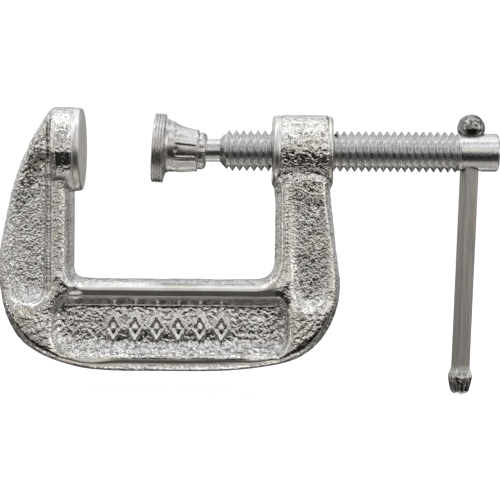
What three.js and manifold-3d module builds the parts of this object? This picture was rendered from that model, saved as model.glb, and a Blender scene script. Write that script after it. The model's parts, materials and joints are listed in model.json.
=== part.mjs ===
// One-inch C-clamp: a cast frame with its anvil and threaded boss, a screw spindle with a ball end and a
// barrel head, a swivel pad crimped over the ball, and a sliding tommy bar through the barrel.
//
// Millimetres. +X runs along the screw from the anvil to the handle, +Z is up, and the frame's front face
// looks towards -Y. The origin is the centre of the anvil face, on the screw's axis.

import * as THREE from "three";
import { mergeVertices } from "three/addons/utils/BufferGeometryUtils.js";
import Module from "manifold-3d";

const wasm = await Module();
wasm.setup();

// ---- driving dimensions ------------------------------------------------------------------------------------

// Screw thread, 5/16-18.
const PITCH = 25.4 / 18;
const CREST_R = 3.97;
const ROOT_R = 3.1;
const THREAD_CLEARANCE = 0.15; // radial, between the spindle's thread and the boss's
const THREAD_SIDES = 20; // facets in a turn

// Frame casting, an I-section bent into a C.
const FLANGE_HALF = 5.4; // half the width across the flanges
const WEB_HALF = 2.3; // half the web's thickness
const EDGE_ROUND = 0.7; // rounding along the flange edges
const DRAFT = 1.1; // how far a pocket narrows from its mouth to its floor
const ANVIL_ARM_X = -1.75; // throat side of the anvil arm
const BOSS_ARM_X = 38.0; // throat side of the boss arm
const SPINE_Z = -25.4; // throat side of the spine, one inch below the screw's axis
const ANVIL_FILLET = 2.2; // throat corner below the anvil
const BOSS_FILLET = 3.3; // throat corner below the boss
const ARM_TOP_Z = 7.9;

// Anvil disc on the end of the anvil arm.
const ANVIL_R = 7.95;
const ANVIL_FACE_R = 7.5;
const ANVIL_LENGTH = 5.6;
const ANVIL_BEVEL = 0.45; // length of the bevelled edge behind the face

// Boss that the screw runs in.
const BOSS_R = 6.8;
const BOSS_START = 37.3;
const BOSS_END = 48.9;
const BOSS_BEVEL = 0.7;

// Raised lozenges in the spine's pocket.
const LOZENGES = 6;
const LOZENGE_STEP = 4.2;
const LOZENGE_HALF_X = 1.75;
const LOZENGE_HALF_Z = 3.1;
const LOZENGE_RISE = 0.75;
const LOZENGE_Z = -34.9;

// Spindle, by stations along the screw's axis.
const BALL_X = 21.1;
const BALL_R = 2.9;
const NECK_R = 2.2;
const NECK_END = 26.9;
const THREAD_START = 27.6;
const THREAD_END = 73.9;
const BARREL_R = 3.7;
const BARREL_END = 81.4;
const BARREL_BEVEL = 0.45;

// Swivel pad, by distances along its own axis from its face.
const PAD_TILT = THREE.MathUtils.degToRad(3.5); // as it rests on the ball
const PAD_R = 6.75;
const PAD_RIM = 2.2; // thickness of its flange
const PAD_GROOVES = 3; // turned into the flange's edge
const BELL_R = 5.0;
const BELL_END_R = 4.15;
const BALL_DEPTH = 7.25; // from the face to the ball's centre
const PAD_LENGTH = 10.4;
const SOCKET_R = BALL_R + 0.1;
const SOCKET_MOUTH_R = 2.6;

// Tommy bar, square with rounded edges, by heights along its own axis from the screw's axis.
const BAR_X = 76.0;
const BAR_LEAN = THREE.MathUtils.degToRad(2.1); // it hangs loose in its hole
const BAR_TURN = THREE.MathUtils.degToRad(16); // about its own axis
const BAR_SIDE = 2.95;
const BAR_EDGE_R = 0.45;
const HEAD_R = 2.72;
const HEAD_Z = 4.75;
const BAR_HOLE_R = 2.2;
const SEAT_CLEARANCE = 0.14; // between the ball head and its seat in the barrel
const SWAGE_TOP = -41.8; // the lower end is staked wider than the hole
const SWAGE_WIDEST = -44.1;
const SWAGE_GROWTH = 1.32; // its widest section over the bar's
const BAR_BOTTOM = -47.3;
const STAKE_SLOT = 0.7; // width and depth of the crossed punch marks in the lower end

// ---- helpers -----------------------------------------------------------------------------------------------

const points = (pairs) => pairs.map(([x, z]) => new THREE.Vector2(x, z));

// A closed geometry as a solid that can be joined and cut.
function solid(geometry) {
  const bare = geometry.clone();
  bare.deleteAttribute("normal");
  bare.deleteAttribute("uv");
  const merged = mergeVertices(bare, 1e-4);
  const index = merged.index.array;
  const faces = [];
  for (let i = 0; i < index.length; i += 3) {
    const [a, b, c] = index.slice(i, i + 3);
    if (a !== b && b !== c && c !== a) faces.push(a, b, c);
  }
  return new wasm.Manifold(
    new wasm.Mesh({
      numProp: 3,
      vertProperties: new Float32Array(merged.attributes.position.array),
      triVerts: new Uint32Array(faces),
    }),
  );
}

// A solid's surface as a geometry again.
function surface(body) {
  const mesh = body.getMesh();
  const geometry = new THREE.BufferGeometry();
  geometry.setAttribute("position", new THREE.BufferAttribute(new Float32Array(mesh.vertProperties), 3));
  geometry.setIndex(new THREE.BufferAttribute(new Uint32Array(mesh.triVerts), 1));
  geometry.computeVertexNormals();
  return geometry;
}

// A profile of (distance along the axis, radius) points, turned about +X.
function turned(profile, sides) {
  const outline = profile.map(([along, radius]) => new THREE.Vector2(radius, along));
  return solid(new THREE.LatheGeometry(outline, sides).rotateZ(-Math.PI / 2));
}

// A shape drawn in (x, z) as a slab from y = near to y = far. Its outline shrinks by inset over the last
// rim millimetres at both faces, in a rounded bevel.
function slab(shape, near, far, rim, inset, segments) {
  const geometry = new THREE.ExtrudeGeometry(shape, {
    depth: far - near - 2 * rim,
    bevelThickness: rim,
    bevelSize: inset,
    bevelOffset: -inset,
    bevelSegments: segments,
    curveSegments: 4,
  });
  return solid(geometry.rotateX(Math.PI / 2).translate(0, far - rim, 0));
}

// The same solid on the other side of the frame's middle plane.
const mirrored = (body) => body.scale([1, -1, 1]);

// A rectangle with rounded corners.
function roundedRectangle(left, bottom, right, top, r) {
  const quarter = Math.PI / 2;
  const shape = new THREE.Shape();
  shape.absarc(right - r, top - r, r, 0, quarter);
  shape.absarc(left + r, top - r, r, quarter, 2 * quarter);
  shape.absarc(left + r, bottom + r, r, 2 * quarter, 3 * quarter);
  shape.absarc(right - r, bottom + r, r, 3 * quarter, 4 * quarter);
  return shape;
}

// A rod along +X with a right-handed V thread. Both of its ends are helical steps, so a smooth envelope
// trims it.
function threadedRod(rootR, crestR, start, turns) {
  const rows = 2 * turns + 1; // root, crest, root, crest, ... root
  const positions = [];
  for (let side = 0; side < THREAD_SIDES; side++) {
    const angle = (2 * Math.PI * side) / THREAD_SIDES;
    for (let row = 0; row < rows; row++) {
      const radius = row % 2 ? crestR : rootR;
      const x = start + PITCH * (row / 2 + side / THREAD_SIDES);
      positions.push(x, radius * Math.cos(angle), radius * Math.sin(angle));
    }
  }
  const at = (side, row) => side * rows + row;
  const faces = [];
  const last = THREAD_SIDES - 1;
  for (let side = 0; side <= last; side++) {
    const next = side === last ? 0 : side + 1;
    const climb = side === last ? 2 : 0; // a whole turn climbs one pitch, which is two rows
    for (let row = 0; row + 1 + climb < rows; row++) {
      const a = at(side, row);
      const b = at(side, row + 1);
      const c = at(next, row + 1 + climb);
      const d = at(next, row + climb);
      faces.push(a, c, b, a, d, c);
    }
  }
  // Each end closes onto a point on the axis.
  const startRim = [];
  const endRim = [];
  for (let side = 0; side <= last; side++) {
    startRim.push(at(side, 0));
    endRim.push(at(side, rows - 1));
  }
  startRim.push(at(0, 2), at(0, 1));
  endRim.push(at(last, rows - 2), at(last, rows - 3));
  const startPoint = positions.length / 3;
  positions.push(start, 0, 0);
  positions.push(start + PITCH * turns, 0, 0);
  startRim.forEach((v, i) => faces.push(startPoint, startRim[(i + 1) % startRim.length], v));
  endRim.forEach((v, i) => faces.push(startPoint + 1, v, endRim[(i + 1) % endRim.length]));
  const geometry = new THREE.BufferGeometry();
  geometry.setAttribute("position", new THREE.Float32BufferAttribute(positions, 3));
  geometry.setIndex(faces);
  return solid(geometry);
}

// A ball's profile for turning, from one angle to another off the -X direction.
function ballArc(x, radius, from, to, steps) {
  const arc = [];
  for (let i = 0; i <= steps; i++) {
    const angle = from + ((to - from) * i) / steps;
    arc.push([x - radius * Math.cos(angle), radius * Math.sin(angle)]);
  }
  return arc;
}

// ---- frame -------------------------------------------------------------------------------------------------

// The side view of the casting, without the anvil disc and the boss.
function frameOutline() {
  const shape = new THREE.Shape();
  shape.moveTo(-2.6, ARM_TOP_Z);
  shape.lineTo(-6.0, ARM_TOP_Z);
  // down the back of the anvil arm, round the heel, along the spine and up the back of the boss arm
  shape.splineThru(
    points([
      [-9.6, 2.1],
      [-13.1, -6.2],
      [-15.4, -17.6],
      [-15.7, -26.5],
      [-13.7, -34.2],
      [-9.0, -39.4],
      [0.8, -42.8],
      [15.5, -43.3],
      [30.8, -42.9],
      [42.3, -40.6],
      [48.0, -35.3],
      [50.3, -28.5],
      [49.8, -21.0],
      [48.3, -6.6],
    ]),
  );
  shape.lineTo(48.3, 0);
  shape.lineTo(BOSS_START + 1, 0);
  shape.lineTo(BOSS_START + 0.2, -5.6);
  shape.lineTo(BOSS_ARM_X, -9.2);
  const down = -Math.PI / 2;
  shape.absarc(BOSS_ARM_X - BOSS_FILLET, SPINE_Z + BOSS_FILLET, BOSS_FILLET, 0, down, true);
  shape.absarc(ANVIL_ARM_X + ANVIL_FILLET, SPINE_Z + ANVIL_FILLET, ANVIL_FILLET, down, 2 * down, true);
  shape.lineTo(ANVIL_ARM_X, -9.0);
  shape.lineTo(-2.6, -7.2);
  return shape;
}

// The pocket in the anvil arm, between a thin rim along the back and a broad bead along the throat.
function anvilArmPocket() {
  const right = -6.3;
  const topR = 1.7;
  const bottomR = 3.5;
  const shape = new THREE.Shape();
  shape.moveTo(right, -2.4);
  shape.lineTo(right, -27.0);
  shape.absarc(right - bottomR, -27.0, bottomR, 0, -Math.PI, true);
  shape.splineThru(
    points([
      [-13.4, -19.5],
      [-12.5, -11.6],
      [right - 2 * topR, -2.6],
    ]),
  );
  shape.absarc(right - topR, -2.4, topR, Math.PI, 0, true);
  return shape;
}

// The narrower pocket in the boss arm.
function bossArmPocket() {
  const left = 41.9;
  const topR = 2.2;
  const bottomR = 2.6;
  const shape = new THREE.Shape();
  shape.moveTo(left, -9.2);
  shape.lineTo(left, -28.4);
  shape.absarc(left + bottomR, -28.4, bottomR, Math.PI, 2 * Math.PI);
  shape.splineThru(
    points([
      [47.1, -21.4],
      [46.3, -9.4],
    ]),
  );
  shape.absarc(left + topR, -9.2, topR, 0, Math.PI);
  return shape;
}

const spinePocket = () => roundedRectangle(-5.2, -41.2, 40.6, -27.6, 5.0);

// The web and flanges: the outline at full width, with pockets sunk from both sides down to the web.
function webAndFlanges() {
  let body = slab(frameOutline(), -FLANGE_HALF, FLANGE_HALF, EDGE_ROUND, EDGE_ROUND, 2);
  const depth = FLANGE_HALF - WEB_HALF;
  for (const pocket of [anvilArmPocket(), spinePocket(), bossArmPocket()]) {
    const cutter = slab(pocket, -WEB_HALF - 2 * depth - 1, -WEB_HALF, depth, DRAFT, 3);
    body = body.subtract(cutter).subtract(mirrored(cutter));
  }
  return body;
}

// What is cut off the top of the anvil arm, so that it is as round as the anvil disc.
function armCrown() {
  const length = 16;
  const block = new THREE.BoxGeometry(length, 4 * FLANGE_HALF, 2 * ANVIL_R).translate(-length / 2, 0, ANVIL_R);
  const round = turned(
    [
      [-length - 1, 0],
      [-length - 1, ANVIL_R],
      [1, ANVIL_R],
      [1, 0],
    ],
    36,
  );
  return solid(block).subtract(round);
}

function anvilDisc() {
  return turned(
    [
      [-ANVIL_LENGTH, 0],
      [-ANVIL_LENGTH, ANVIL_R - 0.8],
      [-ANVIL_LENGTH + 0.8, ANVIL_R],
      [-ANVIL_BEVEL, ANVIL_R],
      [0, ANVIL_FACE_R],
      [0, 0],
    ],
    36,
  );
}

function screwBoss() {
  return turned(
    [
      [BOSS_START, 0],
      [BOSS_START, BOSS_R - BOSS_BEVEL],
      [BOSS_START + BOSS_BEVEL, BOSS_R],
      [BOSS_END - BOSS_BEVEL, BOSS_R],
      [BOSS_END, BOSS_R - BOSS_BEVEL],
      [BOSS_END, 0],
    ],
    36,
  );
}

// A raised lozenge on the floor of the spine's front pocket, a little narrower at its top.
function lozenge(x) {
  const frustum = new THREE.CylinderGeometry(1, 0.8, LOZENGE_RISE + 0.1, 4);
  frustum.scale(LOZENGE_HALF_X, 1, LOZENGE_HALF_Z);
  return solid(frustum.translate(x, -WEB_HALF - LOZENGE_RISE / 2 + 0.05, LOZENGE_Z));
}

// The tapped hole, in step with the spindle's thread and running past both faces of the boss.
function bossThread() {
  const turnsBefore = Math.floor((BOSS_START - THREAD_START) / PITCH) - 2;
  const turns = Math.ceil((BOSS_END - BOSS_START) / PITCH) + 5;
  const start = THREAD_START + PITCH * turnsBefore;
  return threadedRod(ROOT_R + THREAD_CLEARANCE, CREST_R + THREAD_CLEARANCE, start, turns);
}

function makeFrame() {
  let body = webAndFlanges().subtract(armCrown()).add(anvilDisc()).add(screwBoss());
  const middle = (ANVIL_ARM_X + BOSS_ARM_X) / 2 - 1.1;
  for (let i = 0; i < LOZENGES; i++) {
    const raised = lozenge(middle + LOZENGE_STEP * (i - (LOZENGES - 1) / 2));
    body = body.add(raised).add(mirrored(raised));
  }
  return body.subtract(bossThread());
}

// ---- spindle -----------------------------------------------------------------------------------------------

function spindleThread() {
  const turns = Math.ceil((THREAD_END - THREAD_START) / PITCH) + 4;
  const envelope = turned(
    [
      [NECK_END - 0.4, 0],
      [NECK_END - 0.4, NECK_R - 0.1],
      [THREAD_START + PITCH, CREST_R + 0.05],
      [THREAD_END + 0.4, CREST_R + 0.05],
      [THREAD_END + 0.4, 0],
    ],
    THREAD_SIDES,
  );
  return threadedRod(ROOT_R, CREST_R, THREAD_START - 2 * PITCH, turns).intersect(envelope);
}

function ballEnd() {
  const whereNeckMeetsBall = Math.PI - Math.asin(NECK_R / BALL_R);
  return turned(
    [
      ...ballArc(BALL_X, BALL_R, 0, whereNeckMeetsBall, 10),
      [NECK_END, NECK_R],
      [NECK_END + 0.9, ROOT_R - 0.1],
      [NECK_END + 2, 0],
    ],
    THREAD_SIDES,
  );
}

function barrel() {
  return turned(
    [
      [THREAD_END - 1.2, 0],
      [THREAD_END - 0.4, ROOT_R],
      [THREAD_END, BARREL_R],
      [BARREL_END - BARREL_BEVEL, BARREL_R],
      [BARREL_END, BARREL_R - BARREL_BEVEL],
      [BARREL_END, 0],
    ],
    36,
  );
}

// The cross hole for the tommy bar, with the seat that the bar's ball head drops into.
function barHole() {
  const hole = new THREE.CylinderGeometry(BAR_HOLE_R, BAR_HOLE_R, 4 * BARREL_R, 28).rotateX(Math.PI / 2);
  const seat = new THREE.SphereGeometry(HEAD_R + SEAT_CLEARANCE, 28, 18).rotateX(Math.PI / 2);
  const seatX = BAR_X + HEAD_Z * Math.sin(BAR_LEAN);
  const seatZ = HEAD_Z * Math.cos(BAR_LEAN);
  return solid(hole.translate(BAR_X, 0, 0)).add(solid(seat.translate(seatX, 0, seatZ)));
}

const makeSpindle = () => spindleThread().add(ballEnd()).add(barrel()).subtract(barHole());

// ---- swivel pad --------------------------------------------------------------------------------------------

// Turned about +X with the ball's centre at the origin.
function makePad() {
  const grooveDepth = 0.18;
  const pitch = (PAD_RIM - 0.5) / PAD_GROOVES;
  const profile = [
    [0, 0],
    [0, PAD_R - 0.3],
    [0.25, PAD_R],
  ];
  for (let i = 0; i < PAD_GROOVES; i++) {
    const s = 0.25 + pitch * i;
    profile.push([s + 0.35 * pitch, PAD_R], [s + 0.6 * pitch, PAD_R - grooveDepth], [s + 0.85 * pitch, PAD_R]);
  }
  profile.push([PAD_RIM - 0.2, PAD_R - 0.05], [PAD_RIM, PAD_R - 0.3]);
  // concave sweep from the flange's back up to the bell
  const sweep = BELL_R + 0.7;
  profile.push([PAD_RIM + 0.05, sweep], [PAD_RIM + 0.4, BELL_R + 0.25], [PAD_RIM + 1.2, BELL_R]);
  profile.push([PAD_LENGTH - 2.0, BELL_END_R], [PAD_LENGTH - 0.9, BELL_END_R - 0.35]);
  profile.push([PAD_LENGTH - 0.25, BELL_END_R - 0.95], [PAD_LENGTH, SOCKET_MOUTH_R + 0.25]);
  profile.push([PAD_LENGTH - 0.2, SOCKET_MOUTH_R]);
  const mouth = Math.PI - Math.asin(SOCKET_MOUTH_R / SOCKET_R);
  profile.push(...ballArc(BALL_DEPTH, SOCKET_R, mouth, 0, 9));
  return turned(profile, 32).translate([-BALL_DEPTH, 0, 0]);
}

// ---- tommy bar ---------------------------------------------------------------------------------------------

// The staked lower end: the bar's section swollen towards SWAGE_WIDEST, with crossed punch marks below.
function stakedEnd(section) {
  const depth = SWAGE_TOP - BAR_BOTTOM;
  const geometry = new THREE.ExtrudeGeometry(section, { depth, steps: 8, bevelEnabled: false, curveSegments: 3 });
  geometry.translate(0, 0, BAR_BOTTOM);
  const position = geometry.attributes.position;
  const { smoothstep, lerp } = THREE.MathUtils;
  for (let i = 0; i < position.count; i++) {
    const z = position.getZ(i);
    const above = z > SWAGE_WIDEST;
    const full = above ? smoothstep(SWAGE_TOP - z, 0, SWAGE_TOP - SWAGE_WIDEST) : 1;
    const narrowing = above ? 0 : ((SWAGE_WIDEST - z) / (SWAGE_WIDEST - BAR_BOTTOM)) ** 2;
    const growth = lerp(lerp(1, SWAGE_GROWTH, full), 0.98, narrowing);
    position.setX(i, position.getX(i) * growth);
    position.setY(i, position.getY(i) * growth);
  }
  let body = solid(geometry);
  for (const angle of [0.25, 0.75]) {
    const slot = new THREE.BoxGeometry(3 * BAR_SIDE, STAKE_SLOT, 2 * STAKE_SLOT);
    body = body.subtract(solid(slot.rotateZ(angle * Math.PI).translate(0, 0, BAR_BOTTOM)));
  }
  return body;
}

// Along +Z, with the point that crosses the screw's axis at the origin.
function makeTommyBar() {
  const half = BAR_SIDE / 2;
  const section = roundedRectangle(-half, -half, half, half, BAR_EDGE_R);
  const overlap = 0.3;
  const shank = new THREE.ExtrudeGeometry(section, {
    depth: HEAD_Z - SWAGE_TOP + overlap,
    bevelEnabled: false,
    curveSegments: 3,
  });
  const head = new THREE.SphereGeometry(HEAD_R, 28, 18).rotateX(Math.PI / 2);
  return solid(shank.translate(0, 0, SWAGE_TOP - overlap))
    .add(solid(head.translate(0, 0, HEAD_Z)))
    .add(stakedEnd(section));
}

// ---- materials and assembly --------------------------------------------------------------------------------

const finish = (color, roughness) => new THREE.MeshStandardMaterial({ color, roughness, metalness: 1 });

function piece(name, body, material) {
  const mesh = new THREE.Mesh(surface(body), material);
  mesh.name = name;
  return mesh;
}

const clamp = new THREE.Group();

clamp.add(piece("frame", makeFrame(), finish(0xb9b5b0, 0.35)));

clamp.add(piece("spindle", makeSpindle(), finish(0xb4b3b2, 0.28)));

const pad = piece("swivel_pad", makePad(), finish(0xaeaba8, 0.32));
pad.position.set(BALL_X, 0, 0);
pad.rotation.y = PAD_TILT;
clamp.add(pad);

const barAxis = new THREE.Group();
barAxis.position.set(BAR_X, 0, 0);
barAxis.rotation.y = BAR_LEAN;
const bar = piece("tommy_bar", makeTommyBar(), finish(0xa39c95, 0.38));
bar.rotation.z = BAR_TURN;
barAxis.add(bar);
clamp.add(barAxis);

export default clamp;
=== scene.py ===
import json
import math

import bmesh
import bpy
import numpy as np
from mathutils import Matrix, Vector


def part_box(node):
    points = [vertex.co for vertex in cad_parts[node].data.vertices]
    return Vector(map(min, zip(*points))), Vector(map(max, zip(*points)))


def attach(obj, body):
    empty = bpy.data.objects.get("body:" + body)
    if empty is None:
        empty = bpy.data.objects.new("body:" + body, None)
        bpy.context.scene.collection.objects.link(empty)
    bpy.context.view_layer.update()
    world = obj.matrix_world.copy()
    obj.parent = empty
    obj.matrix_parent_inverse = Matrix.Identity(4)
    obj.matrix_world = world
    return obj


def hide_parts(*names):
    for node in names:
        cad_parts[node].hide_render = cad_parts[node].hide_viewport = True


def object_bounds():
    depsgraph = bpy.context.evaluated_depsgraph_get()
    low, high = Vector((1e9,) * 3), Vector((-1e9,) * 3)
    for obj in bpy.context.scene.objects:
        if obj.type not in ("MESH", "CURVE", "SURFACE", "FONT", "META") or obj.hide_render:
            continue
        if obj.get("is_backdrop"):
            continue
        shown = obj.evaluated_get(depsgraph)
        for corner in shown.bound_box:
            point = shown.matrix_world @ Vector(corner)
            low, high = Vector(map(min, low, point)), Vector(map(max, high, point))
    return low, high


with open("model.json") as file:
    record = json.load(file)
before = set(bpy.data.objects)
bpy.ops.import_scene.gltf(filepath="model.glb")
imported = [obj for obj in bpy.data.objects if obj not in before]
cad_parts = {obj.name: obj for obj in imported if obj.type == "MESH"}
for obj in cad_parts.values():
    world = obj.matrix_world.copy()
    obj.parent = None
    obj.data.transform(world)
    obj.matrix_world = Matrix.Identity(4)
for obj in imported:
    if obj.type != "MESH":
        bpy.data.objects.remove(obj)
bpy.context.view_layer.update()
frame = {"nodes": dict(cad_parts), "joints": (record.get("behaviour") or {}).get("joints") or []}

import openvdb
from mathutils import Matrix, Vector

MM = 0.001  # every length below is in millimetres and is multiplied by MM when a mesh is made

JOINTS = {joint["name"]: joint for joint in frame["joints"]}


def box_mm(node):
    """A CAD node's lowest and highest corners, in millimetres."""
    low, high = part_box(node)
    return np.array(low) / MM, np.array(high) / MM


# ---- sizes, from the frame and from the design -----------------------------------------------------------

FRAME_HIGH = box_mm("frame")[1]
SPINDLE_LOW, SPINDLE_HIGH = box_mm("spindle")

PITCH = 25.4 / 18
CREST_R = 3.97
ROOT_R = 3.1
THREAD_CLEARANCE = 0.25  # radial, between the two visible threads, where the CAD has 0.15
THREAD_FLAT = 0.08  # the part of a sharp V's height that its root flat and its crest flat each take off
THREAD_START = 27.6
THREAD_END = 73.9
THREAD_RUN_OUT = THREAD_END + 0.3
# where the mesh's rows lie within a turn, closest together at the root and the crest
THREAD_ROWS = (0, 0.04, 0.09, 0.18, 0.28, 0.38, 0.44, 0.48, 0.52, 0.56, 0.62, 0.72, 0.82, 0.91, 0.96)

BALL_X = JOINTS["screw_spin"]["pos_m"][0] / MM
BALL_R = BALL_X - SPINDLE_LOW[0]
NECK_R = 2.2
NECK_END = 26.9
BARREL_R = 3.7
BARREL_END = SPINDLE_HIGH[0]

FLANGE_HALF = 5.4
WEB_HALF = 2.3
ANVIL_R = FRAME_HIGH[1]
BOSS_R = 6.8
BOSS_START = 37.3
BOSS_END = 48.9

PAD_TILT = math.radians(3.5)
PAD_R = 6.75
PAD_RIM = 2.2
PAD_GROOVES = 3
PAD_GROOVE_DEPTH = 0.2
PAD_LENGTH = 10.4
BELL_R = 5.0
BELL_END_R = 4.15
BALL_DEPTH = 7.25
SOCKET_R = BALL_R + 0.1
SOCKET_MOUTH_R = 2.6

BAR_AXIS = Vector(JOINTS["bar_slide"]["axis"])
BAR_X = 76.0
BAR_TURN = math.radians(16)
BAR_SIDE = 2.95
BAR_EDGE_R = 0.45
HEAD_R = 2.72
HEAD_Z = 4.75
BAR_HOLE_R = 2.2
SEAT_CLEARANCE = 0.14
SWAGE_TOP = -41.8
SWAGE_WIDEST = -44.1
SWAGE_GROWTH = 1.32
BAR_BOTTOM = -47.3


# ---- small mathematics -----------------------------------------------------------------------------------


def smoothstep(x, low, high):
    t = np.clip((x - low) / (high - low), 0.0, 1.0)
    return t * t * (3.0 - 2.0 * t)


def mix(a, b, t):
    return a + (b - a) * t


def lattice(ix, iy, iz, seed):
    """A repeatable pseudo-random value from -1 to 1 at each whole-numbered point."""
    h = (ix * 374761393 + iy * 668265263 + iz * 2147483647 + seed * 974634777) & 0xFFFFFFFF
    h = ((h ^ (h >> 13)) * 1274126177) & 0xFFFFFFFF
    h = h ^ (h >> 16)
    return (h & 0xFFFF) / 32767.5 - 1.0


def value_noise(points, size, seed):
    """Smooth noise from -1 to 1 whose bumps are about size wide."""
    p = points / size
    cell = np.floor(p).astype(np.int64)
    f = p - cell
    f = f * f * f * (f * (f * 6.0 - 15.0) + 10.0)
    total = np.zeros(len(points))
    for dx in (0, 1):
        for dy in (0, 1):
            for dz in (0, 1):
                weight = (
                    (f[:, 0] if dx else 1.0 - f[:, 0])
                    * (f[:, 1] if dy else 1.0 - f[:, 1])
                    * (f[:, 2] if dz else 1.0 - f[:, 2])
                )
                total += weight * lattice(cell[:, 0] + dx, cell[:, 1] + dy, cell[:, 2] + dz, seed)
    return total


# ---- meshes ----------------------------------------------------------------------------------------------


def new_object(name, vertices, faces, matrix=None):
    """A mesh object from vertices in millimetres, placed by matrix."""
    mesh = bpy.data.meshes.new(name)
    mesh.from_pydata([tuple(v) for v in np.asarray(vertices, float) * MM], [], [tuple(f) for f in faces])
    if matrix is not None:
        mesh.transform(matrix)
    mesh.validate()
    obj = bpy.data.objects.new(name, mesh)
    bpy.context.scene.collection.objects.link(obj)
    return obj


def tidy_mesh(obj, merge=0.0015, sharp_angle=None):
    """Merges the points that coincide, turns every face outwards and shades the mesh smooth."""
    bm = bmesh.new()
    bm.from_mesh(obj.data)
    bmesh.ops.remove_doubles(bm, verts=bm.verts, dist=merge * MM)
    bmesh.ops.dissolve_degenerate(bm, edges=bm.edges, dist=1e-7)
    bmesh.ops.recalc_face_normals(bm, faces=bm.faces)
    bm.to_mesh(obj.data)
    bm.free()
    obj.data.shade_smooth()
    if sharp_angle is not None:
        obj.data.set_sharp_from_angle(angle=sharp_angle)


def grid_faces(rows, columns, first=0, climb=0):
    """Quads over rows of points that close round on themselves, a whole turn rising by climb rows."""
    faces = []
    for j in range(columns):
        wrap = j == columns - 1
        k, up = (0, climb) if wrap else (j + 1, 0)
        for i in range(rows - 1 - up):
            a, b = first + i * columns + j, first + (i + 1) * columns + j
            c, d = first + (i + 1 + up) * columns + k, first + (i + up) * columns + k
            faces.append((a, d, c, b))
    return faces


def lathe_rows(profile, columns, shape=None):
    """Rows of points turned about +X from (distance along, radius) points. shape(along, angle, radius)
    changes the radius."""
    along, radius = np.array(profile, float).T
    angle = np.arange(columns) * 2 * math.pi / columns
    s, a = np.meshgrid(along, angle, indexing="ij")
    r = np.repeat(radius[:, None], columns, axis=1)
    if shape is not None:
        r = shape(s, a, r)
    return np.stack([s, r * np.cos(a), r * np.sin(a)], axis=-1)


def arc(cx, cr, radius, start, end, steps):
    """(along, radius) points on a circle about (cx, cr), angles in degrees from +X."""
    angles = np.radians(np.linspace(start, end, steps + 1))
    return [(cx + radius * math.cos(a), cr + radius * math.sin(a)) for a in angles]


def apply_boolean(obj, cutter):
    """Cuts cutter out of obj and removes it."""
    modifier = obj.modifiers.new("cut", "BOOLEAN")
    modifier.operation = "DIFFERENCE"
    modifier.solver = "EXACT"
    modifier.object = cutter
    graph = bpy.context.evaluated_depsgraph_get()
    mesh = bpy.data.meshes.new_from_object(obj.evaluated_get(graph))
    obj.modifiers.clear()
    old = obj.data
    obj.data = mesh
    bpy.data.meshes.remove(old)
    bpy.data.objects.remove(cutter)


# ---- frame casting ---------------------------------------------------------------------------------------

VOXEL = 0.2


def blurred(field, sigmas):
    """A Gaussian blur of a 3-D array, with a sigma in millimetres for each axis."""
    for axis, sigma in enumerate(sigmas):
        if sigma == 0.0:
            continue
        sigma /= VOXEL
        reach = int(math.ceil(2.6 * sigma))
        weights = np.exp(-0.5 * (np.arange(-reach, reach + 1) / sigma) ** 2)
        weights /= weights.sum()
        total = np.zeros_like(field)
        for shift, weight in zip(range(-reach, reach + 1), weights):
            total += np.float32(weight) * np.roll(field, shift, axis)
        field = total
    return field


def turned_bar(rho, x, radius, start, end, edge):
    """The signed distance from a round bar about the screw's axis, its edges rounded."""
    out = rho - (radius - edge)
    past = np.abs(x - (start + end) / 2) - ((end - start) / 2 - edge)
    return np.hypot(np.maximum(out, 0), np.maximum(past, 0)) + np.minimum(np.maximum(out, past), 0) - edge


def joined(a, b, fillet):
    """The union of two shapes, with a fillet where they meet."""
    blend = np.maximum(fillet - np.abs(a - b), 0) / fillet
    return np.minimum(a, b) - blend * blend * fillet / 4


def joined_edge(a, b, edge):
    """Where two shapes overlap, with the edge between them rounded off."""
    return -joined(-a, -b, edge)


def line_relief(X, Z, path, height, width):
    """A raised line along a path of (x, z) points, as a change of distance. A negative height sinks it."""
    nearest = np.full(np.broadcast(X, Z).shape, 1e3)
    for (ax, az), (bx, bz) in zip(path, path[1:]):
        length = math.hypot(bx - ax, bz - az)
        ux, uz = (bx - ax) / length, (bz - az) / length
        t = np.clip((X - ax) * ux + (Z - az) * uz, 0, length)
        nearest = np.minimum(nearest, np.hypot(X - ax - t * ux, Z - az - t * uz))
    return -height * np.exp(-((nearest / width) ** 2))


def node_distance(node, margin):
    """The signed distance from a CAD node on a grid, the grid's three axes in millimetres, and its first
    voxel."""
    mesh = frame["nodes"][node].data
    mesh.calc_loop_triangles()
    points = np.empty(len(mesh.vertices) * 3, np.float32)
    mesh.vertices.foreach_get("co", points)
    points = points.reshape(-1, 3) / MM
    triangles = np.empty(len(mesh.loop_triangles) * 3, np.int32)
    mesh.loop_triangles.foreach_get("vertices", triangles)
    reach = 12
    grid = openvdb.FloatGrid.createLevelSetFromPolygons(
        points.astype(np.float32),
        triangles=triangles.reshape(-1, 3).astype(np.uint32),
        transform=openvdb.createLinearTransform(voxelSize=VOXEL),
        halfWidth=reach,
    )
    low = np.floor((points.min(0) - margin) / VOXEL).astype(int)
    high = np.ceil((points.max(0) + margin) / VOXEL).astype(int)
    field = np.full(high - low + 1, reach * VOXEL, np.float32)
    grid.copyToArray(field, ijk=tuple(int(i) for i in low))
    axes = [(low[i] + np.arange(field.shape[i])) * VOXEL for i in range(3)]
    return field, axes, low


def thread_radius(x, angle):
    """The screw thread's radius at a place along the screw and an angle about it."""
    phase = np.mod((x - THREAD_START) / PITCH - angle / (2 * math.pi), 1.0)
    sharp = 1.0 - np.abs(2.0 * phase - 1.0)
    rise = np.clip((sharp - THREAD_FLAT) / (1.0 - 2 * THREAD_FLAT), 0.0, 1.0)
    return ROOT_R + (CREST_R - ROOT_R) * rise


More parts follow.
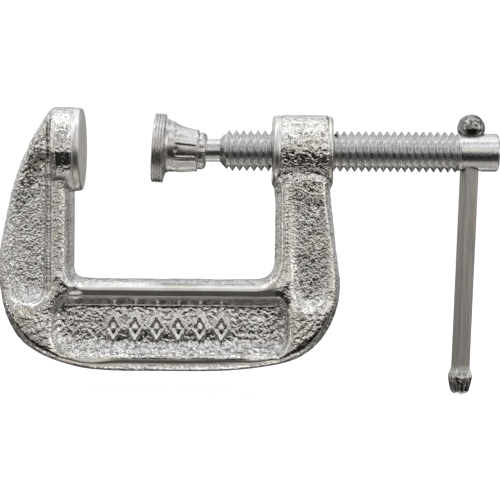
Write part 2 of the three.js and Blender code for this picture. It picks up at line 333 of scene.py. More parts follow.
SKIN_LAYERS = ((0.050, 1.0, 1), (0.050, 0.52, 2), (0.09, 3.9, 3))  # height, size and seed of each noise
BLUR_LOSS = 0.12  # how far the surface is moved outwards, to make up for what the blurs draw in
EDGE_REACH = 1.9  # how far in from the outline the flanges' faces begin to round off
SPINE_EDGE_REACH = 3.6
UPPER_WALL_Z = -30.7  # where the walls of the spine's pocket meet the web
UPPER_WALL_SLOPE = 1.25
LOWER_WALL_Z = -37.6
LOWER_WALL_SLOPE = 0.95
DISC_BACK = -5.6
ARM_CREASE = ((-6.15, 6.8), (-6.0, -8.0), (-5.85, -27.3))
DISC_CREASE = ((-4.95, 4.6), (-4.95, -5.0))
FLOW_LINE = ((-1.0, -38.6), (8.0, -39.5), (18.0, -39.8), (28.0, -39.6), (37.0, -38.8))
CORNER_RIBS = (((-4.3, -24.7), (-1.9, -26.9)), ((39.0, -27.2), (40.4, -25.3)))
LOZENGE_XS = [6.525 + 4.2 * i for i in range(6)]
LOZENGE_HALF_X = 1.75
LOZENGE_HALF_Z = 3.1
LOZENGE_Z = -34.9


def lozenges(X, Y, Z):
    """Raised lozenge rings on both faces of the web, each round a small pip."""
    field = None
    for x in LOZENGE_XS:
        reach = np.abs(X - x) / LOZENGE_HALF_X + np.abs(Z - LOZENGE_Z) / LOZENGE_HALF_Z
        dish = smoothstep(-reach, -0.66, -0.48) * smoothstep(reach, 0.12, 0.26)
        one = np.maximum((reach - 1) * 1.5, np.abs(Y) - (WEB_HALF + 0.9 - 0.7 * dish))
        field = one if field is None else np.minimum(field, one)
    return field.astype(np.float32)


def beside_throat(X, Z):
    """1 on the anvil arm's bead, beside the throat, and 0 elsewhere."""
    return smoothstep(X, -8.6, -7.2) * (1 - smoothstep(X, -1.0, 1.0)) * smoothstep(Z, -29.5, -27.5)


def on_spine_top(X, Z):
    """1 on the spine's upper flange and 0 elsewhere."""
    top = smoothstep(-Z, 25.0, 26.5) * smoothstep(Z, -31.0, -29.5)
    return top * smoothstep(X, -2.0, 2.0) * smoothstep(-X, -38.0, -34.0)


def softened(field, X, Y, Z):
    """The CAD frame with cast fillets, softest in the arms' pockets and crisp beside the throat."""
    soft = blurred(field, (1.0, 0.5, 1.0))
    crisp = blurred(field, (0.4, 0.4, 0.4))
    boss_arm = smoothstep(X, 39.0, 41.5) * smoothstep(-Z, 0.5, 3.5) * smoothstep(Z, -33.0, -29.0)
    anvil_arm = smoothstep(-X, 7.6, 9.6) * smoothstep(-Z, -4.0, -1.0) * smoothstep(Z, -34.0, -31.0)
    arms = (boss_arm + anvil_arm) * smoothstep(np.abs(Y), 1.0, 1.6)
    soft = mix(soft, blurred(field, (1.7, 0.5, 1.7)), arms.astype(np.float32))
    crisp_places = np.maximum(beside_throat(X, Z), on_spine_top(X, Z))
    return mix(soft, crisp, crisp_places.astype(np.float32)) - np.float32(BLUR_LOSS)


def rounding(inside, X, Y, Z):
    """The flanges' faces, rounded off towards the casting's edge, and furthest in along the spine."""
    spine_bottom = smoothstep(-Z, 35.0, 38.0) * smoothstep(X, 1.0, 9.0) * smoothstep(-X, -36.0, -28.0)
    along_spine = np.maximum(spine_bottom, 0.6 * on_spine_top(X, Z))
    reach = mix(EDGE_REACH, SPINE_EDGE_REACH, along_spine).astype(np.float32)
    past = np.clip(1 - inside / reach, 0, 1)
    return (np.abs(Y) - FLANGE_HALF * np.sqrt(1.0 - 0.93 * past**2.2)) * mix(0.95, 0.5, past)


def spine_walls(inside, X, Y, Z):
    """The sloping upper and lower walls of the spine's pocket."""
    above = np.abs(Y) - (WEB_HALF - 0.1 + UPPER_WALL_SLOPE * (Z - UPPER_WALL_Z))
    below = np.abs(Y) - (WEB_HALF - 0.1 + LOWER_WALL_SLOPE * (LOWER_WALL_Z - Z))
    walls = np.maximum(np.minimum(above, below) * 0.8, np.abs(X - 17.7) - 20.5)
    walls = np.maximum(walls, np.abs(Y) - (FLANGE_HALF - 0.5))
    return np.maximum(walls, 1.2 - inside).astype(np.float32)


def boss_arm_floor(inside, X, Y, Z):
    """The floor of the boss arm's pocket, which grows shallower towards the boss."""
    floor = np.abs(Y) - (WEB_HALF + 1.45 + 0.055 * (Z + 31.0))
    floor = np.maximum(np.maximum(floor, np.abs(X - 44.0) - 5.0), np.abs(Z + 18.0) - 13.0)
    return np.maximum(floor, 1.4 - inside).astype(np.float32)


def cast_lines(X, Y, Z):
    """The crown of the anvil arm's bead, its crease, the flow line and the corner ribs, as a change of
    distance."""
    crown = 0.5 * np.clip(np.abs(X + 3.85) / 2.2, 0, 1.2) ** 2 * beside_throat(X, Z) * (X > -6.6)
    relief = crown + line_relief(X, Z, ARM_CREASE, -0.7, 0.32)
    relief = relief + line_relief(X, Z, FLOW_LINE, -0.16, 0.22)
    for rib in CORNER_RIBS:
        relief = relief + line_relief(X, Z, rib, 0.12, 0.55)
    return relief * smoothstep(np.abs(Y), WEB_HALF + 0.4, FLANGE_HALF - 0.6)


def ring_groove(X, place, depth, width):
    """A shallow groove round the screw's axis, as a change of distance."""
    return depth * np.exp(-(((X - place) / width) ** 2))


def with_disc_and_boss(field, X, Y, Z, rho):
    """Joins on the anvil's disc and the boss, and grinds the anvil's face flat."""
    disc = turned_bar(rho, X, ANVIL_R, DISC_BACK, 0.0, 0.4) + ring_groove(X, -1.55, 0.22, 0.22)
    boss = turned_bar(rho, X, BOSS_R, BOSS_START, BOSS_END, 0.55)
    boss = boss + ring_groove(X, 38.75, 0.3, 0.22) + ring_groove(X, 48.1, 0.25, 0.2)
    field = joined(field, disc, 0.7)
    field = field + line_relief(X, Z, DISC_CREASE, -0.35, 0.25) * smoothstep(np.abs(Y), 3.0, 4.5)
    field = joined(field, boss, 0.9)
    return np.where((X > -1) & (X < 6) & (Z > -12), np.maximum(field, X), field)


def casting_field():
    """The casting's shape as signed distances, and the grid's first voxel."""
    field, (x, y, z), low = node_distance("frame", 1.2)
    X, Y, Z = np.meshgrid(x, y, z, indexing="ij", sparse=True)
    field = softened(field, X, Y, Z)
    middle = int(np.argmin(np.abs(y)))
    inside = -blurred(field[:, middle : middle + 1, :], (0.3, 0.0, 0.3))

    field = joined(field, spine_walls(inside, X, Y, Z), 0.6)
    field = joined(field, boss_arm_floor(inside, X, Y, Z), 0.8)
    field = joined_edge(field, rounding(inside, X, Y, Z), 0.3)
    field = (field + cast_lines(X, Y, Z)).astype(np.float32)
    field = joined(field, lozenges(X, Y, Z), 0.35)

    rho = np.sqrt(Y**2 + Z**2)
    field = with_disc_and_boss(field, X, Y, Z, rho)
    bore = thread_radius(X, np.arctan2(Z, Y)) + THREAD_CLEARANCE - rho
    in_boss = (X > BOSS_START - 2.5) & (X < BOSS_END + 2.5)
    return np.where(in_boss, np.maximum(field, bore), field).astype(np.float32), low


def casting_mesh():
    field, low = casting_field()
    grid = openvdb.FloatGrid(float(field.max()))
    grid.copyFromArray(field, ijk=tuple(int(i) for i in low))
    grid.transform = openvdb.createLinearTransform(voxelSize=VOXEL)
    points, quads = grid.convertToQuads(isovalue=0.0)
    obj = new_object("frame_casting", points, quads[:, ::-1])
    tidy_mesh(obj, merge=0.01)
    return obj


def smooth_places(x, y, z, rho):
    """How smooth each place of the casting is, from 0 for full pebbles to 1."""
    boss_ends = 1 - smoothstep(x, 38.6, 38.9) * (1 - smoothstep(x, 47.9, 48.2))
    boss_ends = boss_ends * (x > BOSS_START - 0.5) * (x < BOSS_END + 0.5) * (rho < BOSS_R + 0.4)
    bead = smoothstep(x, -6.3, -5.9) * (x < -1) * (z < -5)
    boss_pocket = smoothstep(-np.abs(x - 44.6), -2.7, -2.0) * smoothstep(-z, 6.5, 9.0) * (z > -33)
    flange = smoothstep(np.abs(y), FLANGE_HALF - 1.3, FLANGE_HALF - 0.3) * (rho > 8.5) * (1 - boss_pocket)
    near = np.min([np.abs(x - lx) / LOZENGE_HALF_X for lx in LOZENGE_XS], axis=0)
    on_lozenge = smoothstep(-near - np.abs(z - LOZENGE_Z) / LOZENGE_HALF_Z, -1.25, -1.0)
    upper_wall = smoothstep(z, -31.3, -30.3) * (z < -26) * (x > -2) * (x < 38)
    disc_side = (x > -6) * (x < -1.4) * (rho < ANVIL_R + 0.5) * (z > -8)
    boss_side = (x > BOSS_START) * (x < BOSS_END) * (rho < BOSS_R + 0.4) * (rho > BOSS_R - 0.8) * (z > -4.3)
    underside = smoothstep(-z, 40.3, 41.0)
    smooth = 0.9 * upper_wall + 0.8 * flange * (1 - bead) + 0.6 * bead + 0.8 * boss_ends + 0.85 * on_lozenge
    return np.clip(smooth + 0.65 * disc_side + 0.35 * boss_side + 0.7 * underside, 0, 1)


def roughen_casting(obj):
    """Gives the casting its pebbly skin, and stores how pebbly, coarse and recessed each place is."""
    mesh = obj.data
    count = len(mesh.vertices)
    co = np.empty(count * 3)
    mesh.vertices.foreach_get("co", co)
    co = co.reshape(-1, 3) / MM
    normal = np.empty(count * 3, np.float32)
    mesh.vertices.foreach_get("normal", normal)
    normal = normal.reshape(-1, 3).astype(float)
    x, y, z = co.T
    rho = np.hypot(y, z)

    ground_face = smoothstep(x, -1.75, -1.6) * (np.abs(x) < 3) * (rho < ANVIL_R + 0.5)
    inside_hole = (rho < CREST_R + 0.6) * (x > BOSS_START - 1) * (x < BOSS_END + 1)
    pebbly = (1 - smooth_places(x, y, z, rho)) * (1 - ground_face) * (1 - inside_hole)
    skin = sum(height * value_noise(co, size, seed) for height, size, seed in SKIN_LAYERS)

    co += normal * (skin * pebbly)[:, None]
    mesh.vertices.foreach_set("co", (co * MM).ravel().astype(np.float32))
    # x, y and z now hold the moved places
    coarse = np.maximum(smoothstep(-z, 29.0, 32.0), rho < 8.5)
    recess = smoothstep(-np.abs(y), -FLANGE_HALF + 0.2, -WEB_HALF) * (rho > 7.0)
    for name, values in (("pebbly", pebbly), ("coarse", coarse), ("recess", recess)):
        attribute = mesh.attributes.new(name, "FLOAT", "POINT")
        attribute.data.foreach_set("value", values.astype(np.float32))
    mesh.update()


# ---- spindle ---------------------------------------------------------------------------------------------


def ball_and_neck(columns):
    """The ball, the neck and the ring where the thread's taper begins."""
    neck_angle = math.degrees(math.asin(NECK_R / BALL_R))
    profile = arc(BALL_X, 0, BALL_R, 180, neck_angle, 22)
    profile += [(BALL_X + 2.3, NECK_R + 0.02), (BALL_X + 3.2, NECK_R), (NECK_END - 1.2, NECK_R)]
    profile += [(NECK_END - 0.5, NECK_R), (NECK_END, NECK_R)]
    return lathe_rows(profile, columns)


def thread_rows(columns):
    """The thread, in rows that follow the helix. It tapers off to the neck and runs out at the barrel."""
    turns = int((THREAD_RUN_OUT - NECK_END) / PITCH) + 4
    start = THREAD_START - PITCH * math.ceil((THREAD_START - NECK_END) / PITCH + 1)
    along = start + PITCH * np.array([turn + f for turn in range(turns) for f in THREAD_ROWS])
    angle = np.arange(columns) * 2 * math.pi / columns
    x = np.clip(along[:, None] + PITCH * angle[None, :] / (2 * math.pi), NECK_END, THREAD_RUN_OUT)
    radius = thread_radius(x, angle[None, :])
    taper = mix(NECK_R, CREST_R + 0.1, np.clip((x - NECK_END) / (THREAD_START + 1.0 - NECK_END), 0, 1))
    radius = np.minimum(radius, taper)
    radius = mix(radius, BARREL_R, smoothstep(x, THREAD_END - 1.1, THREAD_RUN_OUT))
    return np.stack([x, radius * np.cos(angle), radius * np.sin(angle)], axis=-1)


def barrel_rows(columns):
    """The barrel head, with a rounded edge and a centre mark in its end."""
    profile = [(THREAD_RUN_OUT, BARREL_R), (THREAD_RUN_OUT + 0.3, BARREL_R)]
    profile += [(76, BARREL_R), (79, BARREL_R)]
    profile += arc(BARREL_END - 0.45, BARREL_R - 0.45, 0.45, 90, 0, 6)
    profile += [(BARREL_END, 2.6), (BARREL_END - 0.04, 2.4), (BARREL_END - 0.04, 1.1)]
    profile += [(BARREL_END - 0.1, 0.95), (BARREL_END - 0.7, 0.25), (BARREL_END - 0.75, 0.0)]
    return lathe_rows(profile, columns)


def cut_turned(obj, name, profile, place):
    """Cuts a turned shape out of obj. Its profile lies along +X until place moves it."""
    columns = 64
    rows = lathe_rows(profile, columns)
    tool = new_object(name, rows.reshape(-1, 3), grid_faces(len(rows), columns), place)
    tidy_mesh(tool)
    apply_boolean(obj, tool)


def build_spindle():
    columns = 112
    vertices, faces = [], []
    blocks = (ball_and_neck(columns), thread_rows(columns), barrel_rows(columns))
    for block, climb in zip(blocks, (0, len(THREAD_ROWS), 0)):
        faces += grid_faces(len(block), columns, first=sum(len(v) for v in vertices), climb=climb)
        vertices.append(block.reshape(-1, 3))
    obj = new_object("spindle_turned", np.concatenate(vertices), faces)
    tidy_mesh(obj)

    hole = [(-8, 0), (-8, BAR_HOLE_R), (8, BAR_HOLE_R), (8, 0)]
    upright = Matrix.Translation((BAR_X * MM, 0, 0)) @ Matrix.Rotation(-math.pi / 2, 4, "Y")
    cut_turned(obj, "hole_tool", hole, upright)
    seat = arc(0, 0, HEAD_R + SEAT_CLEARANCE, 180, 0, 40)
    under_head = Matrix.Translation(Vector((BAR_X * MM, 0, 0)) + BAR_AXIS * HEAD_Z * MM)
    cut_turned(obj, "seat_tool", seat, under_head)
    tidy_mesh(obj, merge=0.0005, sharp_angle=math.radians(32))
    return obj


# ---- swivel pad ------------------------------------------------------------------------------------------


def pad_profile():
    """The pad from the middle of its face, over the rim and the bell, into its socket."""
    p = [(0, 0), (0.02, 1.5), (0.0, 4.5), (0, PAD_R - 0.35)]
    p += arc(0.3, PAD_R - 0.3, 0.3, 180, 90, 4)
    pitch = (PAD_RIM - 0.55) / PAD_GROOVES
    for i in range(PAD_GROOVES):
        s = 0.3 + pitch * i
        p += [(s + 0.30 * pitch, PAD_R), (s + 0.42 * pitch, PAD_R - 0.05)]
        p += [(s + 0.6 * pitch, PAD_R - PAD_GROOVE_DEPTH)]
        p += [(s + 0.78 * pitch, PAD_R - 0.05), (s + 0.92 * pitch, PAD_R - 0.01)]
    p += arc(PAD_RIM - 0.25, PAD_R - 0.25, 0.25, 80, 0, 4)
    # concave sweep behind the rim
    p += arc(PAD_RIM + 1.35, BELL_R + 1.35, 1.35, 180, 268, 10)
    for t in np.linspace(0.06, 1, 26):
        p.append((mix(PAD_RIM + 1.4, PAD_LENGTH - 1.9, t), mix(BELL_R, BELL_END_R, t)))
    p += [(PAD_LENGTH - 1.72, BELL_END_R - 0.07), (PAD_LENGTH - 1.62, BELL_END_R - 0.22)]
    p += [(PAD_LENGTH - 1.55, BELL_END_R - 0.52), (PAD_LENGTH - 1.4, BELL_END_R - 0.62)]
    p += [(PAD_LENGTH - 1.2, BELL_END_R - 0.6), (PAD_LENGTH - 1.0, BELL_END_R - 0.56)]
    p += [(PAD_LENGTH - 0.75, BELL_END_R - 0.6), (PAD_LENGTH - 0.5, BELL_END_R - 0.72)]
    p += [(PAD_LENGTH - 0.28, BELL_END_R - 0.86), (PAD_LENGTH - 0.12, BELL_END_R - 1.02)]
    p += [(PAD_LENGTH, SOCKET_MOUTH_R + 0.3)]
    p += [(PAD_LENGTH - 0.05, SOCKET_MOUTH_R + 0.04), (PAD_LENGTH - 0.25, SOCKET_MOUTH_R)]
    mouth = math.degrees(math.asin(SOCKET_MOUTH_R / SOCKET_R))
    p += arc(BALL_DEPTH, 0, SOCKET_R, mouth, 180, 20)
    return p


def crimped(s, angle, radius):
    """The bell flares more on its upper side, its flats are pressed by the crimping jaws, each with a small
    dimple at its end nearer the rim, and its lip is a little torn."""
    outside = radius > SOCKET_R + 0.15
    flare = np.exp(-(((s - PAD_RIM - 0.9) / 1.9) ** 2)) * smoothstep(s, PAD_RIM, PAD_RIM + 0.5) * outside
    on_bell = smoothstep(s, 4.0, 4.7) * (1 - smoothstep(s, 8.2, 8.6)) * outside
    turn = np.mod(angle + 0.30, math.pi / 4) - math.pi / 8
    flat = 0.13 * smoothstep(-np.abs(turn), -0.30, -0.22)
    edge = 0.045 * np.exp(-(((np.abs(turn) - 0.33) / 0.05) ** 2))
    dimples = np.exp(-(((s - 4.5) / 0.35) ** 2)) * np.exp(-((turn / 0.11) ** 2)) * outside
    lip = smoothstep(s, 8.85, 9.1) * outside
    torn = 0.10 * np.sin(9 * angle + 0.7) * np.sin(4 * angle) + 0.07 * np.sin(17 * angle)
    dent = on_bell * (flat - edge) + 0.16 * dimples + lip * torn * 0.7
    return radius - dent + 0.55 * flare * np.sin(angle)


def build_pad():
    columns = 192
    rows = lathe_rows(pad_profile(), columns, crimped)
    place = (
        Matrix.Translation((BALL_X * MM, 0, 0))
        @ Matrix.Rotation(PAD_TILT, 4, "Y")
        @ Matrix.Translation((-BALL_DEPTH * MM, 0, 0))
    )
    obj = new_object("pad_turned", rows.reshape(-1, 3), grid_faces(len(rows), columns), place)
    tidy_mesh(obj, sharp_angle=math.radians(38))
    return obj


# ---- tommy bar -------------------------------------------------------------------------------------------


def bar_section(per_corner, per_side):
    """The bar's outline: a square with rounded corners, as (x, y) points."""
    reach = BAR_SIDE / 2 - BAR_EDGE_R
    points = []
    for quarter in range(4):
        turn = quarter * math.pi / 2
        cx = reach * math.sqrt(2) * math.cos(turn + math.pi / 4)
        cy = reach * math.sqrt(2) * math.sin(turn + math.pi / 4)
        for a in np.linspace(0, math.pi / 2, per_corner):
            points.append((cx + BAR_EDGE_R * math.cos(turn + a), cy + BAR_EDGE_R * math.sin(turn + a)))
        start = np.array(points[-1])
        end = start + (-2 * reach) * np.array([math.cos(turn), math.sin(turn)])
        for t in np.linspace(0, 1, per_side + 2)[1:-1]:
            points.append(tuple(mix(start, end, t)))
    return np.array(points)


def ring(unit, radius, z):
    """The bar's section scaled to a radius at each of its points, at height z."""
    return np.column_stack([unit * radius[:, None], np.broadcast_to(z, radius.shape)])


def staked_underside(section):
    """Rows from the middle of the underside outwards, with the mark of the staking tool across it."""
    rows = []
    for t in np.linspace(0, 1, 15):
        flat = section * 0.98 * t
        fx, fy = flat.T
        diagonal = np.minimum(np.abs(fx - fy), np.abs(fx + fy)) / math.sqrt(2)
        mark = 0.75 * np.exp(-((diagonal / 0.28) ** 2)) + 0.35 * (1 - t) ** 2
        rounding_up = 0.35 * smoothstep(np.array(t), 0.8, 1.0)
        rows.append(np.column_stack([flat, BAR_BOTTOM + mark + rounding_up]))
    return rows


def swaged_end(section, unit, size):
    """Rows up the swaged end, which swells and is pressed in at its corners."""
    rows = []
    for z in np.linspace(BAR_BOTTOM + 0.5, SWAGE_TOP, 26):
        if z > SWAGE_WIDEST:
            growth = mix(1, SWAGE_GROWTH, smoothstep(np.array(SWAGE_TOP - z), 0, SWAGE_TOP - SWAGE_WIDEST))
        else:
            growth = mix(SWAGE_GROWTH, 0.99, ((SWAGE_WIDEST - z) / (SWAGE_WIDEST - BAR_BOTTOM)) ** 2)
        diagonal = np.abs(np.abs(section[:, 0]) - np.abs(section[:, 1]))
        fade = smoothstep(np.array(SWAGE_WIDEST + 0.6 - z), 0, 2.6)
        lobe = 0.20 * np.exp(-((diagonal / 0.45) ** 2)) * fade
        low = smoothstep(np.array(SWAGE_WIDEST - 0.9 - z), 0, 1.6)
        notch = 0.22 * low * np.exp(-((np.abs(diagonal - 1.0) / 0.28) ** 2))
        rows.append(ring(unit, size * (growth - lobe - notch), z))
    return rows


def shank_and_head(unit, size):
    """Rows up the plain shank and over the ball head."""
    rows = [ring(unit, size, z) for z in np.linspace(SWAGE_TOP + 0.4, HEAD_Z - HEAD_R - 0.2, 60)]
    for a in np.radians(np.linspace(-70, 89, 54)):
        ball = HEAD_R * math.cos(a)
        radius = np.maximum(size, ball) if a < 0 else np.full_like(size, ball)
        rows.append(ring(unit, radius, HEAD_Z + HEAD_R * math.sin(a)))
    return rows + [ring(unit, np.zeros_like(size), HEAD_Z + HEAD_R)]


def build_bar():
    section = bar_section(7, 14)
    size = np.hypot(section[:, 0], section[:, 1])
    unit = section / size[:, None]
    rows = staked_underside(section) + swaged_end(section, unit, size) + shank_and_head(unit, size)
    lean = Matrix.Rotation(math.atan2(BAR_AXIS.x, BAR_AXIS.z), 4, "Y")
    place = Matrix.Translation((BAR_X * MM, 0, 0)) @ lean @ Matrix.Rotation(BAR_TURN, 4, "Z")
    obj = new_object("bar_drawn", np.concatenate(rows), grid_faces(len(rows), len(section)), place)
    tidy_mesh(obj, sharp_angle=math.radians(50))
    return obj


# ---- materials -------------------------------------------------------------------------------------------


class Shader:
    """A metal material, built node by node. Lengths in its textures are in millimetres."""

    def __init__(self, name):
        self.material = bpy.data.materials.new(name)
        self.material.use_nodes = True
        self.nodes = self.material.node_tree.nodes
        self.links = self.material.node_tree.links
        self.bsdf = self.nodes["Principled BSDF"]
        self.bsdf.inputs["Metallic"].default_value = 1.0
        self.normal = None

    def node(self, kind, inputs=None, **settings):
        made = self.nodes.new("ShaderNode" + kind)
        for key, value in settings.items():
            setattr(made, key, value)
        for key, value in (inputs or {}).items():
            if isinstance(value, bpy.types.NodeSocket):
                self.links.new(value, made.inputs[key])
            else:
                made.inputs[key].default_value = value
        return made

    def place(self, scale=(1, 1, 1), rotation=(0, 0, 0)):
        """Object coordinates in millimetres, stretched by scale."""
        coordinates = self.node("TexCoord").outputs["Object"]
        scaled = [s / MM for s in scale]
        inputs = {"Vector": coordinates, "Scale": scaled, "Rotation": rotation}
        return self.node("Mapping", inputs).outputs[0]

    def noise(self, where, size, detail=3.0, roughness=0.5, distortion=0.0):
        values = {"Vector": where, "Scale": 1 / size, "Detail": detail, "Roughness": roughness}
        values["Distortion"] = distortion
        return self.node("TexNoise", values).outputs["Fac"]

    def span(self, value, low, high, to_low=0.0, to_high=1.0):
        """value's stretch from low to high, mapped onto to_low to to_high and clamped."""
        inputs = {"Value": value, "From Min": low, "From Max": high, "To Min": to_low, "To Max": to_high}
        return self.node("MapRange", inputs).outputs["Result"]

    def maths(self, operation, a, b):
        return self.node("Math", {0: a, 1: b}, operation=operation).outputs[0]

    def blend(self, amount, a, b, mode="MIX"):
        """Colours a and b mixed by amount."""
        made = self.node("Mix", data_type="RGBA", blend_type=mode)
        for socket, value in ((made.inputs[0], amount), (made.inputs[6], a), (made.inputs[7], b)):
            if isinstance(value, bpy.types.NodeSocket):
                self.links.new(value, socket)
            else:
                socket.default_value = value
        return made.outputs[2]

    def bump(self, height, distance, strength=1.0):
        """Adds a layer of relief, distance millimetres deep."""
        inputs = {"Height": height, "Distance": distance * MM, "Strength": strength}
        if self.normal is not None:
            inputs["Normal"] = self.normal
        self.normal = self.node("Bump", inputs).outputs["Normal"]

    def finish(self, colour, roughness):
        self.links.new(colour, self.bsdf.inputs["Base Color"])
        self.links.new(roughness, self.bsdf.inputs["Roughness"])
        if self.normal is not None:
            self.links.new(self.normal, self.bsdf.inputs["Normal"])
        return self.material


def attribute(shader, name):
    return shader.node("Attribute", attribute_name=name).outputs["Fac"]


def cast_plate():
    """Bright plate over a pebbly casting, with painted shade darkening its recesses and the hollows between
    its pebbles.
    """
    s = Shader("cast_plate")
    where = s.place()
    pebbly = attribute(s, "pebbly")
    recess = attribute(s, "recess")
    coarse = attribute(s, "coarse")
    fine_pebbles = s.noise(where, 0.52, detail=1.0, roughness=0.5)
    coarse_pebbles = s.noise(where, 0.80, detail=1.0, roughness=0.4)
    pebbles = s.node("Mix", {0: coarse, 2: fine_pebbles, 3: coarse_pebbles}).outputs[0]
    scales = s.maths("MULTIPLY", s.span(pebbles, 0.40, 0.60), s.span(coarse, 0, 1, 0.63, 1.0))
    grain = s.noise(where, 0.26, detail=1.0)
    streaks = s.noise(s.place((1.0, 1.0, 0.1)), 0.3, detail=2.0)
    s.bump(s.maths("MULTIPLY", scales, s.span(pebbly, 0, 1, 0.03, 1.0)), 0.15)
    s.bump(s.maths("MULTIPLY", grain, s.span(pebbly, 0, 1, 0.12, 1.0)), 0.05)
    s.bump(streaks, 0.016)
    cloud = s.noise(where, 3.0, detail=4.0)
    tone = s.blend(s.span(cloud, 0.35, 0.65), (0.81, 0.795, 0.775, 1), (0.90, 0.90, 0.905, 1))
    warm = s.maths("MULTIPLY", s.span(s.noise(where, 5.0), 0.40, 0.60), s.span(recess, 0.0, 0.6, 0.55, 0.0))
    tone = s.blend(warm, tone, (0.80, 0.755, 0.65, 1))
    # Painted shade: the colour is darkened in the recesses, most towards the web.
    recess_shade = s.maths("MULTIPLY", s.span(s.noise(where, 0.9), 0.42, 0.68), s.span(recess, 0, 1, 0.06, 0.26))
    colour = s.blend(recess_shade, tone, (0.21, 0.185, 0.16, 1))
    # Painted shade: the hollows between the pebbles are darkened.
    pebble_hollow_shade = s.maths("MULTIPLY", s.span(pebbles, 0.47, 0.34), s.span(pebbly, 0, 1, 0.0, 0.5))
    colour = s.blend(pebble_hollow_shade, colour, (0.12, 0.11, 0.10, 1))
    polish = s.span(s.noise(where, 1.4, detail=4.0), 0.3, 0.7, 0.04, 0.11)
    roughness = s.maths("MAXIMUM", polish, s.span(pebbly, 0.0, 0.12, 0.34, 0.0))
    return s.finish(colour, roughness)


def turned_plate(name, line_scale, tint, rough_low, rough_high):
    """Bright plate over turned steel: fine lines round the screw's axis, and a few small marks."""
    s = Shader(name)
    lines = s.noise(s.place(line_scale), 0.09, detail=2.0)
    where = s.place()
    marks = s.noise(where, 0.5, detail=5.0, roughness=0.65)
    s.bump(lines, 0.006)
    s.bump(marks, 0.03)
    cloud = s.noise(where, 1.8, detail=3.0)
    darker = [c * 0.84 for c in tint] + [1]
    colour = s.blend(s.span(cloud, 0.3, 0.7), darker, list(tint) + [1])
    return s.finish(colour, s.span(marks, 0.3, 0.7, rough_low, rough_high))


def drawn_steel():
    """The bar: a satin shank with lines along it, a polished ball head and a peened lower end."""
    s = Shader("drawn_steel")
    lean = math.atan2(BAR_AXIS.x, BAR_AXIS.z)
    where = s.place()
    along = s.place((1, 1, 0.02), (0, -lean, 0))
    lines = s.noise(along, 0.22, detail=4.0, roughness=0.65)
    height = s.node("SeparateXYZ", {"Vector": s.node("TexCoord").outputs["Object"]}).outputs["Z"]
    head = s.span(height, 1.9 * MM, 2.4 * MM)
    peened = s.span(height, (SWAGE_TOP - 0.2) * MM, (SWAGE_TOP - 1.2) * MM)
    bright = s.maths("MAXIMUM", head, peened)
    s.bump(s.maths("MULTIPLY", lines, s.span(bright, 0, 1, 1, 0)), 0.06)
    dents = s.noise(where, 0.7, detail=2.0)
    s.bump(s.maths("MULTIPLY", dents, s.span(peened, 0, 1, 0.04, 1)), 0.12)
    streak = s.span(lines, 0.36, 0.64)
    steel = s.blend(streak, (0.30, 0.287, 0.27, 1), (0.48, 0.465, 0.445, 1))
    mottle = s.span(s.noise(s.place((1, 1, 0.35)), 1.6, detail=4.0), 0.38, 0.62, 0.0, 0.35)
    steel = s.blend(mottle, steel, (0.44, 0.40, 0.36, 1))
    colour = s.blend(head, steel, (0.34, 0.33, 0.32, 1))
    colour = s.blend(peened, colour, (0.60, 0.59, 0.575, 1))
    roughness = s.span(bright, 0, 1, 0.38, 0.07)
    return s.finish(colour, roughness)


# ---- pieces ----------------------------------------------------------------------------------------------


def put(obj, body, node, material):
    """Makes obj the visible piece for a CAD node."""
    obj.data.materials.clear()
    obj.data.materials.append(material)
    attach(obj, body)
    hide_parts(node)


casting = casting_mesh()
roughen_casting(casting)
put(casting, "frame", "frame", cast_plate())
spindle_look = turned_plate("turned_plate", (1.0, 0.06, 0.06), (0.80, 0.80, 0.80), 0.18, 0.32)
put(build_spindle(), "spindle", "spindle", spindle_look)
pad_look = turned_plate("pad_plate", (1.0, 0.06, 0.06), (0.76, 0.745, 0.73), 0.18, 0.34)
put(build_pad(), "pad", "swivel_pad", pad_look)
put(build_bar(), "bar", "tommy_bar", drawn_steel())


# ---- studio ----------------------------------------------------------------------------------------------

FLOOR_HALF = 3.0
FLOOR_GAP = 0.0002
FLOOR_GREY = (0.5, 0.5, 0.5)
ROOM_STRENGTH = 1.55
BACKDROP_STRENGTH = 1.05
CAMERA_PLACE = Vector((32.96 * MM, -0.300, -19.5 * MM))
CAMERA_ROLL = math.radians(-0.5)
CAMERA_LENS = 110


def floor_material():
    material = bpy.data.materials.new("floor_white")
    material.use_nodes = True
    bsdf = material.node_tree.nodes["Principled BSDF"]
    bsdf.inputs["Base Color"].default_value = (*FLOOR_GREY, 1)
    bsdf.inputs["Roughness"].default_value = 1.0
    bsdf.inputs["Specular IOR Level"].default_value = 0.0
    bsdf.inputs["Emission Color"].default_value = (*FLOOR_GREY, 1)
    bsdf.inputs["Emission Strength"].default_value = 1.6
    return material


def make_floor(middle):
    """A pale floor. The metal doesn't mirror it: the room's lower half stands in for it there."""
    half = FLOOR_HALF / MM
    corners = [(-half, -half, 0), (half, -half, 0), (half, half, 0), (-half, half, 0)]
    place = Matrix.Translation((middle.x, middle.y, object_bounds()[0][2] - FLOOR_GAP))
    floor = new_object("studio_floor", corners, [(0, 1, 2, 3)], place)
    floor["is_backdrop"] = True
    floor.data.materials.append(floor_material())
    floor.visible_glossy = False


def map_range(nodes, links, value, source, target, interpolation="LINEAR"):
    made = nodes.new("ShaderNodeMapRange")
    made.interpolation_type = interpolation
    made.inputs["From Min"].default_value, made.inputs["From Max"].default_value = source
    made.inputs["To Min"].default_value, made.inputs["To Max"].default_value = target
    links.new(value, made.inputs["Value"])
    return made.outputs["Result"]


def grey_ramp(nodes, links, value, stops):
    """A colour ramp from (position, grey, tint) stops."""
    ramp = nodes.new("ShaderNodeValToRGB")
    links.new(value, ramp.inputs["Fac"])
    elements = ramp.color_ramp.elements
    while len(elements) < len(stops):
        elements.new(0.5)
    for element, (where, grey, tint) in zip(elements, stops):
        element.position = where
        element.color = (*(grey * part for part in tint), 1)
    return ramp.outputs["Color"]


